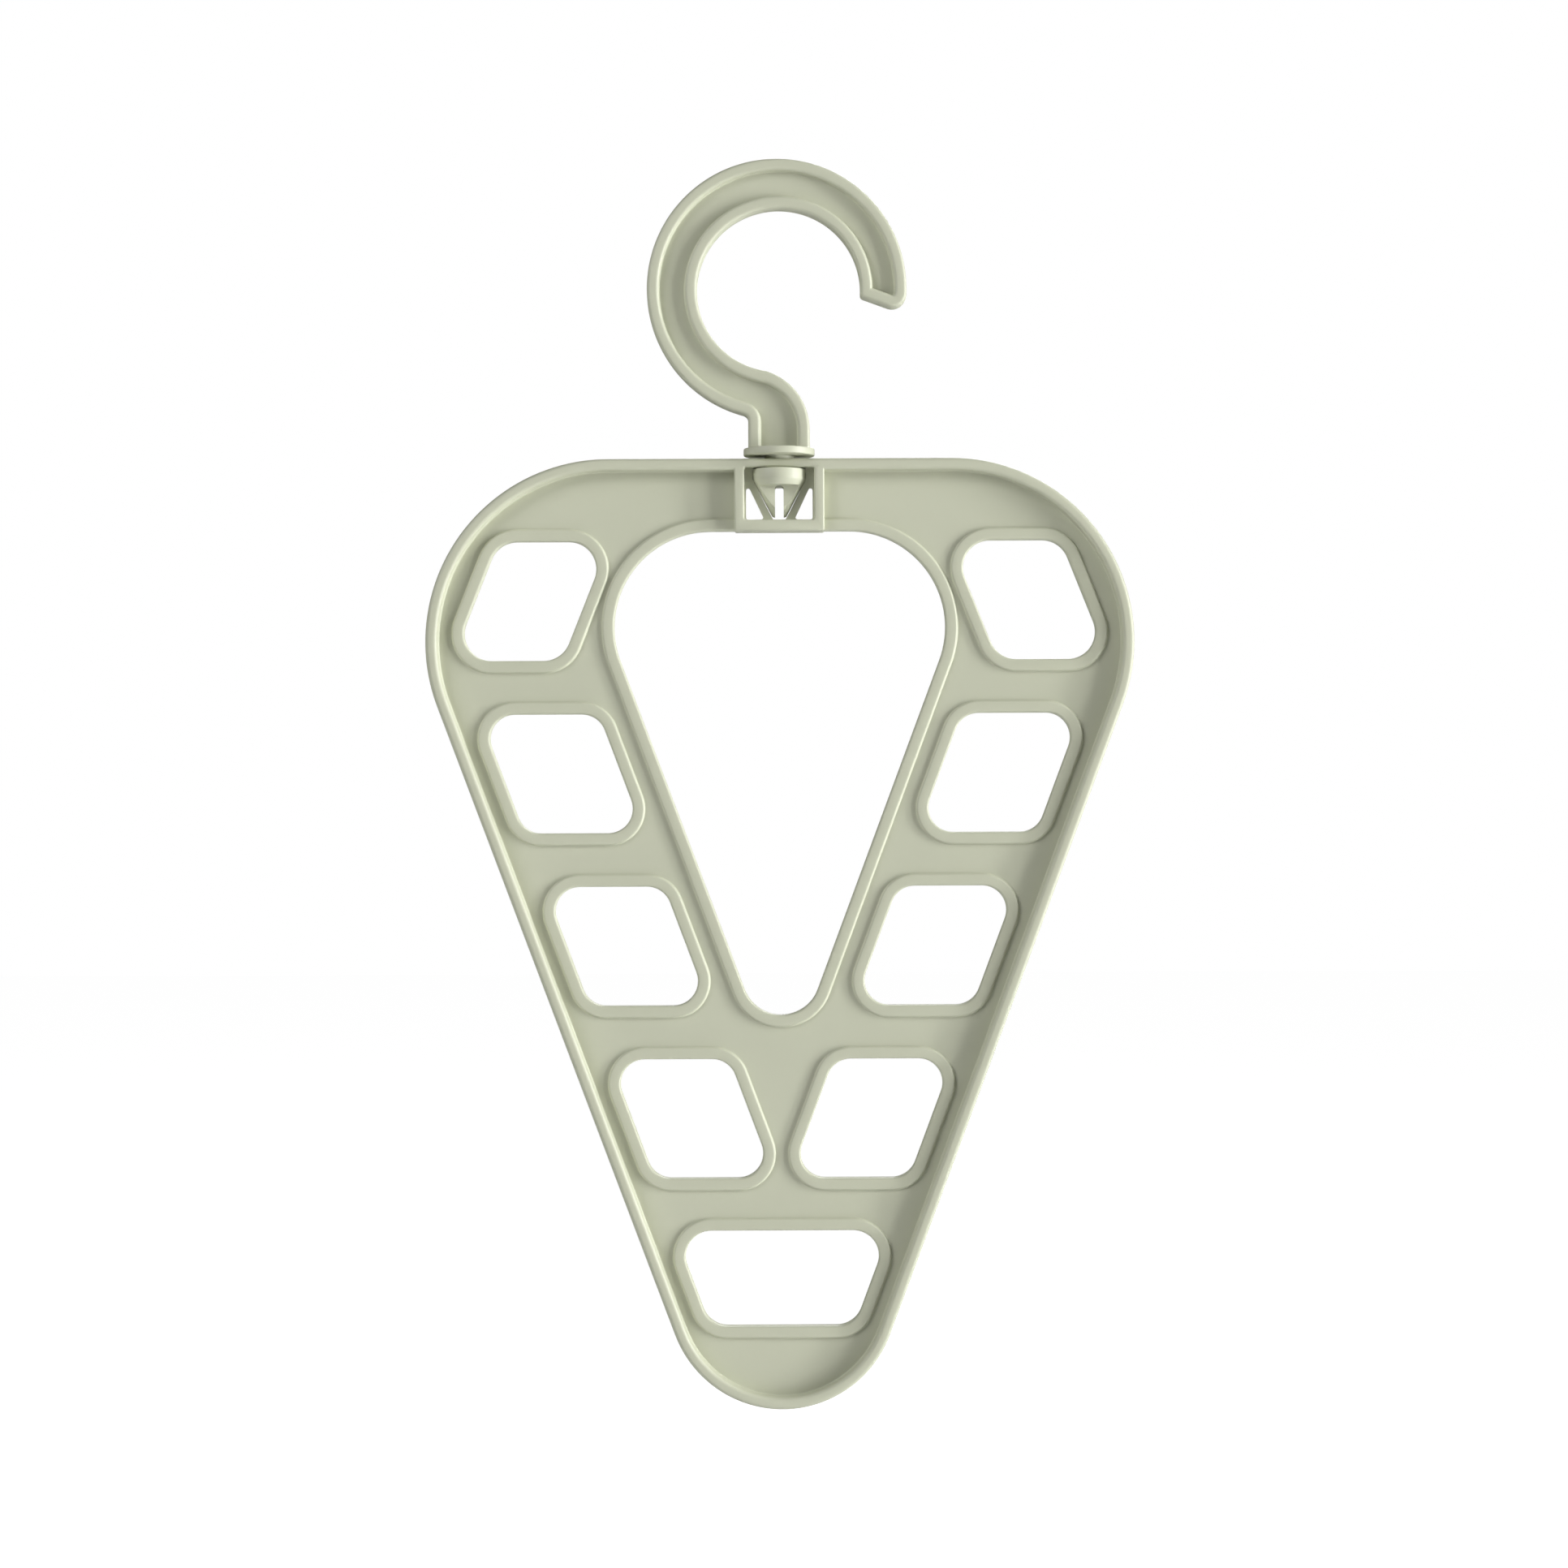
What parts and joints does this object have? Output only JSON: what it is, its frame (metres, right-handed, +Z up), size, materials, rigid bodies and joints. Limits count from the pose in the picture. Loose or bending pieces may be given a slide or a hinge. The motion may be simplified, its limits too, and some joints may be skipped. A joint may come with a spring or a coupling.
{
  "type": "nine-hole rotating hanger",
  "caption": "Flat moulded organiser with a swivel hook above a rounded triangular frame; clothes hangers hook into the rimmed holes in its shoulders, arms and tip.",
  "frame": {"origin": "the point at the top inside the hook's loop that rests on a rod", "axes": "+Z up along the swivel axis of the neck, +X to the loop's open side, -Y to the front; the rod lies along Y"},
  "size_m": [0.197, 0.0198, 0.3477],
  "materials": {
    "hook_plastic": "satin",
    "frame_plastic": "satin"
  },
  "bodies": {
    "hook": {"hook": "hook_plastic"},
    "frame": {"frame": "frame_plastic"}
  },
  "joints": [
    {"name": "hook_swivel", "type": "hinge", "parent": "hook", "child": "frame", "pos_m": [0, 0, -0.0799], "axis": [0, 0, 1], "continuous": true}
  ]
}
